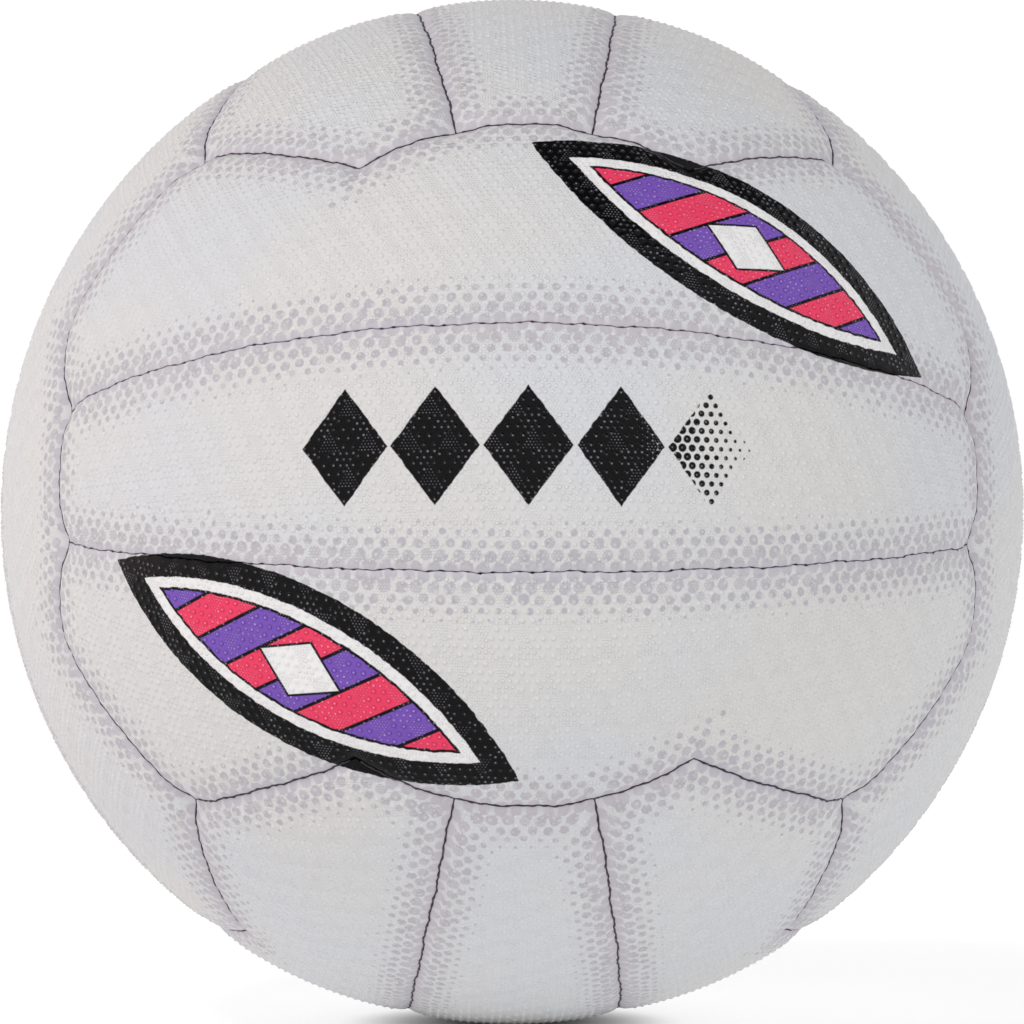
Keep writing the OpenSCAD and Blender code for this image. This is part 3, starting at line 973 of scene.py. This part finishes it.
def thread_runs(turn):
    """One tube along each seam that the thread of this outer panel closes, in millimetres."""
    points, faces, count = [], [], 0
    corners = outer_outline.p @ turn.T
    for e in THREAD_EDGES:
        seam = seam_of(outer_outline.p[e] @ turn.T, outer_outline.q[e] @ turn.T)
        ends = (THREAD_SHORT, seam["length"] - THREAD_SHORT)
        along = np.linspace(*ends, max(6, round((ends[1] - ends[0]) / THREAD_STEP)))
        n = seam["normal"]
        way = np.cross(n, seam["start"])
        angle = along / BALL_R
        up = np.cos(angle)[:, None] * seam["start"] + np.sin(angle)[:, None] * way
        draw = seam_pucker(seam, along)
        tight = seam_tightness(seam, along)
        depth = CROWN_DEPTH + THREAD_DEPTH + 0.22 * draw + 0.35 * tight
        depth = sunk(depth, up, corners, outer_outline.sinks)
        centre = up * (BALL_R - depth)[:, None] + n * seam_wave(seam, along)[:, None]
        sway = THREAD_SWAY * np.sin(2 * math.pi * along / 1.7 + seam["phase"][1])
        centre = centre + n * sway[:, None]
        swell = 0.06 * np.sin(2 * math.pi * along / GAP_PERIODS[0] + seam["phase"][0]) * (1 - draw)
        radius = (THREAD_R + swell) * (1 - 0.45 * tight)
        for k in range(THREAD_SIDES):
            a = 2 * math.pi * k / THREAD_SIDES
            points.append(centre + radius[:, None] * (math.cos(a) * up + math.sin(a) * n))
        rings = len(along)
        grid = count + np.arange(THREAD_SIDES)[:, None] * rings + np.arange(rings)[None, :]
        for k in range(THREAD_SIDES):
            a, b = grid[k], grid[(k + 1) % THREAD_SIDES]
            faces.append(np.stack([a[:-1], b[:-1], b[1:]], axis=1))
            faces.append(np.stack([a[:-1], b[1:], a[1:]], axis=1))
        for end, order in ((0, -1), (rings - 1, 1)):
            ring = grid[:, end][::order]
            hub = np.full(THREAD_SIDES - 2, ring[0])
            faces.append(np.stack([hub, ring[1:-1], ring[2:]], axis=1))
        count += THREAD_SIDES * rings
    return np.concatenate(points), np.concatenate(faces)


seed = 100
for face, columns in FACES.items():
    turn = np.array(columns, float).T
    add_panel(f"{face}_middle", "valve" if face == "back" else "middle", turn, seed)
    for place, half in zip(OUTER_PLACES[face], (np.eye(3), HALF_TURN)):
        seed += 1
        add_panel(f"{face}_{place}", "outer", turn @ half, seed)
        points, faces = thread_runs(turn @ half)
        thread = mesh_object(f"{face}_{place}_seam_thread", points, faces, material=thread_look)
        settle(thread, f"{face}_{place}_thread")
    seed += 1

# The bladder fills every panel and is drawn in at the seams

def bladder_side(rings, flip):
    """One side of the bladder's wall, as one mesh, and the loop round the valve."""
    points, faces, hole, count = [], [], None, 0
    forms = {
        "middle": Form(middle_outline, rings, BACK_STEP),
        "valve": Form(middle_outline, rings, BACK_STEP, hole_r=BLADDER_HOLE_R),
        "outer": Form(outer_outline, rings, BACK_STEP),
    }
    for face, columns in FACES.items():
        turn = np.array(columns, float).T
        middle = "valve" if face == "back" else "middle"
        for kind, way in ((middle, turn), ("outer", turn), ("outer", turn @ HALF_TURN)):
            form = forms[kind]
            if kind == "valve":
                hole = form.hole + count
            points.append(panel_points(form, way)[0])
            faces.append((form.faces[:, ::-1] if flip else form.faces) + count)
            count += form.count
    return np.concatenate(points), np.concatenate(faces), hole


outer_points, outer_faces, outer_hole = bladder_side(BLADDER_RINGS, False)
inner_points, inner_faces, inner_hole = bladder_side(INNER_RINGS, True)
inner_hole = inner_hole + len(outer_points)
wall = np.concatenate([
    np.stack([outer_hole, inner_hole, np.roll(inner_hole, -1)], axis=1),
    np.stack([outer_hole, np.roll(inner_hole, -1), np.roll(outer_hole, -1)], axis=1),
])
bladder_faces = np.concatenate([outer_faces, inner_faces + len(outer_points), wall])
bladder_points = np.concatenate([outer_points, inner_points])
_, first, back = np.unique(np.round(bladder_points, 3), axis=0, return_index=True, return_inverse=True)
bladder_points, bladder_faces = bladder_points[first], back.reshape(-1)[bladder_faces]
rubber = rubber_material("bladder_rubber", srgb(30, 30, 32), srgb(44, 43, 44), 0.5, 500.0)
bladder = mesh_object("inflated_bladder", bladder_points, bladder_faces, material=rubber)
settle(bladder, "bladder")

# The valve's pieces keep their solids and get their finish

LOOKS = (
    ("valve_patch", rubber_material("patch_rubber", srgb(112, 66, 38), srgb(134, 82, 50), 0.6, 700.0)),
    ("valve_body", rubber_material("valve_rubber", srgb(196, 194, 190), srgb(212, 210, 206), 0.38, 1500.0)),
    ("valve_core", rubber_material("core_rubber", srgb(128, 30, 28), srgb(152, 42, 36), 0.5, 900.0)),
)
for name, look in LOOKS:
    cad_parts[name].data.materials.clear()
    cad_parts[name].data.materials.append(look)


# Camera, light and backdrop

CAMERA_WAY = (-0.026, -0.994, -0.107)
CAMERA_D = 4.8
LENS = 84.5
SENSOR = 36.0

camera_data = bpy.data.cameras.new("camera")
camera_data.lens = LENS
camera_data.sensor_width = SENSOR
camera_data.clip_start = 0.01
camera = bpy.data.objects.new("camera", camera_data)
bpy.context.scene.collection.objects.link(camera)
camera.location = Vector(CAMERA_WAY).normalized() * CAMERA_D * BALL_R * MM
camera.rotation_euler = (-camera.location).to_track_quat("-Z", "Y").to_euler()
bpy.context.scene.camera = camera


# Backdrop, in millimetres: a round floor, the curve at its edge, and the wall above that
FLOOR_R = 800.0
CURVE_R = 500.0
WALL_TOP = 1600.0
BACKDROP_SIDES = 96
CURVE_STEPS = 12


def backdrop():
    """A round floor that curves up into a wall on all sides."""
    profile = [(150.0, 0.0), (400.0, 0.0), (FLOOR_R, 0.0)]
    for k in range(1, CURVE_STEPS + 1):
        a = math.radians(90 * k / CURVE_STEPS)
        profile.append((FLOOR_R + CURVE_R * math.sin(a), CURVE_R * (1 - math.cos(a))))
    profile.append((FLOOR_R + CURVE_R, WALL_TOP))
    points = [(0.0, 0.0, -BALL_R)]
    for radius, rise in profile:
        for k in range(BACKDROP_SIDES):
            a = 2 * math.pi * k / BACKDROP_SIDES
            points.append((radius * math.cos(a), radius * math.sin(a), rise - BALL_R))
    faces = []
    for k in range(BACKDROP_SIDES):
        n = (k + 1) % BACKDROP_SIDES
        faces.append((0, 1 + k, 1 + n))
        for r in range(len(profile) - 1):
            a, b = 1 + r * BACKDROP_SIDES, 1 + (r + 1) * BACKDROP_SIDES
            faces.append((a + k, b + k, b + n))
            faces.append((a + k, b + n, a + n))
    return np.array(points), np.array(faces)


def paper_material():
    """Pale paper that glows, but not where the ball rests."""
    g = Graph("pale_paper")
    place = g.node("ShaderNodeTexCoord").outputs["Object"]
    paper = g.mix(g.noise(place, 9.0, 3.0), srgb(180, 180, 180), srgb(184, 184, 184))
    from_middle = g.node("ShaderNodeVectorMath", operation="LENGTH")
    g.feed(from_middle.inputs[0], place)
    glow = g.mul(g.step(from_middle.outputs["Value"], 0.1113, 0.118), 0.62)
    material = g.finish(paper, 0.9, Specular_IOR_Level=0.1, Emission_Color=(1.0, 1.0, 1.0, 1.0))
    shader = next(n for n in g.tree.nodes if n.type == "BSDF_PRINCIPLED")
    g.feed(shader.inputs["Emission Strength"], glow)
    return material


points, faces = backdrop()
mesh_object("floor", points, faces, material=paper_material())

# Name, place in metres, diameter, power and colour of each lamp
LAMPS = (
    ("key", (-0.5, -0.65, 0.84), 0.2, 3.75, (1.0, 0.97, 0.96)),
    ("fill", (0.5, -0.75, 0.4), 0.4, 0.2, (0.8, 0.86, 1.0)),
    ("left", (-0.9, 0.0, 0.05), 0.9, 1.2, (1.0, 0.52, 0.42)),
    ("right", (0.9, 0.1, 0.05), 0.9, 0.16, (0.5, 0.58, 1.0)),
    ("rim", (0.1, 0.6, 0.9), 0.6, 0.26, (0.95, 0.97, 1.0)),
    ("back", (0.35, 1.0, 0.2), 0.4, 0.7, (1.0, 0.98, 0.96)),
)


def area_light(name, place, size, power, colour):
    data = bpy.data.lights.new(name, "AREA")
    data.shape = "DISK"
    data.size = size
    data.energy = power
    data.color = colour
    lamp = bpy.data.objects.new(name, data)
    bpy.context.scene.collection.objects.link(lamp)
    lamp.location = place
    lamp.rotation_euler = (-Vector(place)).to_track_quat("-Z", "Y").to_euler()


for lamp in LAMPS:
    area_light(*lamp)

WORLD_LIGHT = 0.11

world = bpy.data.worlds.new("studio")
world.use_nodes = True
background = world.node_tree.nodes["Background"]
background.inputs["Color"].default_value = (1.0, 1.0, 1.0, 1.0)
background.inputs["Strength"].default_value = WORLD_LIGHT
bpy.context.scene.world = world
bpy.context.scene.view_settings.view_transform = "Standard"
